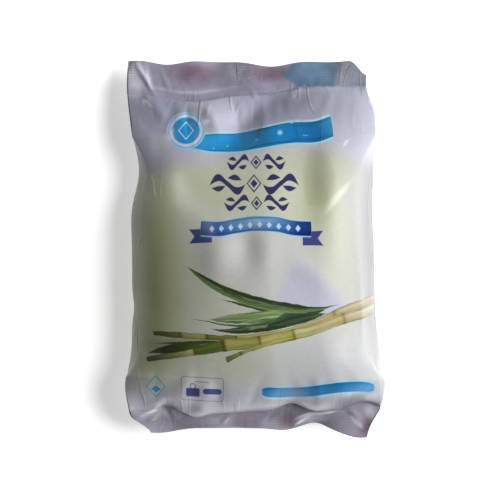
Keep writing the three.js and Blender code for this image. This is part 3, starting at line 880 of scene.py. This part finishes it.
def milkyFilm():
    # The same film without ink, as gussets and heat seals: milky, so what lies behind it shows through a little,
    # and ribbed where the sealing jaws pressed it
    material, tree = newMaterial("milkyPolyethyleneFilm")
    place = flatPlace(tree)
    tint = addNode(tree, "VertexColor", layer_name="filmTint")
    cloud = addNode(tree, "TexNoise", {"Vector": place, "Scale": 0.12, "Detail": 4.0}).outputs[0]
    density = ramp(tree, cloud, [(0.3, "dcdce0"), (0.7, "ffffff")])
    colour = mix(tree, 1.0, tint.outputs["Color"], density, "MULTIPLY")
    level = addNode(tree, "SeparateXYZ", {0: place}).outputs[1]
    ribs = calculate(tree, "SINE", calculate(tree, "MULTIPLY", level, 2 * math.pi / filmFinish["ribPitch"]))
    inSeal = softStep(tree, calculate(tree, "ABSOLUTE", level), *filmFinish["ribsFrom"])
    crumple = wrinkleHeight(tree, place, -32, (0.1, 0.03))
    ribs = calculate(tree, "MULTIPLY", ribs, inSeal)
    height = calculate(tree, "MULTIPLY_ADD", ribs, filmFinish["ribs"], crumple)
    addSurface(tree, filmFinish, colour, height, cloud, filmFinish["milkyRoughness"], tint.outputs["Alpha"])
    return material


sugarFinish = {"ior": 1.56, "bumpStrength": 0.6, "bumpDepth": 0.3, "roughness": (0.15, 0.6), "crystals": 1900.0}


def granulatedSugar():
    # White sugar: crystals about half a millimetre across, each catching light at its own angle
    material, tree = newMaterial("granulatedSugar")
    place = addNode(tree, "TexCoord").outputs["Object"]
    crystals = addNode(tree, "TexVoronoi", {"Vector": place, "Scale": sugarFinish["crystals"]})
    heaps = addNode(tree, "TexNoise", {"Vector": place, "Scale": 90.0, "Detail": 3.0}).outputs[0]
    depth = crystals.outputs["Distance"]
    colour = ramp(tree, depth, [(0, "f7f6f2"), (0.6, "eeeeeb"), (1, "d4d6d8")])
    colour = mix(tree, 0.3, colour, ramp(tree, heaps, [(0.3, "dfe0e0"), (0.7, "ffffff")]), "MULTIPLY")
    addSurface(tree, sugarFinish, colour, depth, crystals.outputs["Color"], sugarFinish["roughness"])
    return material


# Dense faces take the printed film, and the bare ones the milky film
def dressFilm(skin):
    skin.data.materials.clear()
    skin.data.materials.append(printedFilm())
    skin.data.materials.append(milkyFilm())
    tint = np.zeros(len(skin.data.vertices) * 4)
    skin.data.color_attributes["filmTint"].data.foreach_get("color", tint)
    bare = tint.reshape(-1, 4)[:, 3] < 0.999
    for polygon in skin.data.polygons:
        polygon.material_index = int(any(bare[i] for i in polygon.vertices))


dressFilm(film)
sugar.data.materials.clear()
sugar.data.materials.append(granulatedSugar())
print("materials:", len(paintedInks) + len(crispInks), "inks")


# Floor, light and camera
studio = {
    "lensLength": 100, "viewWidth": 300, "viewLevel": 20, "viewCentre": (-2.6, -0.8),
    "floorSize": 6, "floorGlow": 0.5,  # the table is lit from below, which pales the shadow
    "keyPower": 40, "keySize": 1.1, "keyFrom": (1.05, 0.15, 0.92),
    "glints": [((-0.72, 0.62, 0.62), 0.22, 2.2), ((0.7, -0.5, 0.9), 0.2, 1.2)],  # place, size and power
    "fill": 0.07, "fillColour": (0.95, 0.97, 1, 1),
}


def softLight(name, place, size, power):
    bpy.ops.object.light_add(type="AREA", location=place)
    light = bpy.context.object
    light.name = name
    light.data.shape = "DISK"
    light.data.size = size
    light.data.energy = power
    light.rotation_euler = light.location.to_track_quat("Z", "Y").to_euler()
    return light


def makeStudio():
    deselectAll()
    bpy.ops.mesh.primitive_plane_add(size=studio["floorSize"])
    floor = bpy.context.object
    floor.name = "floor"
    material, tree = newMaterial("opalAcrylicTable")  # white and matt, so the packet stands on an even pale ground
    grain = addNode(tree, "TexNoise", {"Scale": 40.0, "Detail": 3.0}).outputs[0]
    shader = addNode(tree, "BsdfPrincipled", {
        "Base Color": ramp(tree, grain, [(0, "eeeeec"), (1, "f4f4f2")]), "Roughness": 0.8,
        "Emission Color": linearColour("ffffff"), "Emission Strength": studio["floorGlow"]})
    addNode(tree, "OutputMaterial", {"Surface": shader.outputs[0]})
    floor.data.materials.append(material)

    key = softLight("keyLight", studio["keyFrom"], studio["keySize"], studio["keyPower"])
    key.visible_glossy = False  # the broad light shapes the form, the small ones glint
    for i, (place, size, power) in enumerate(studio["glints"]):
        softLight(f"glint{i + 1}", place, size, power).visible_diffuse = False

    world = bpy.data.worlds.new("softRoom")
    bpy.context.scene.world = world
    world.use_nodes = True
    background = world.node_tree.nodes["Background"].inputs
    background["Color"].default_value = studio["fillColour"]
    background["Strength"].default_value = studio["fill"]

    bpy.ops.object.camera_add()
    camera = bpy.context.object
    camera.name = "frontCamera"
    camera.data.lens = studio["lensLength"]
    viewX, viewY = studio["viewCentre"]
    distance = studio["viewWidth"] * studio["lensLength"] / camera.data.sensor_width
    camera.location = (viewX * mm, viewY * mm, (distance + studio["viewLevel"]) * mm)
    camera.rotation_euler = (0, 0, 0)
    camera.data.clip_start = 0.05
    bpy.context.scene.camera = camera
    bpy.context.scene.view_settings.view_transform = "Standard"


makeStudio()
print("studio: floor, key light and camera")

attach(film, "root")
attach(sugar, "root")
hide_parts("packet")
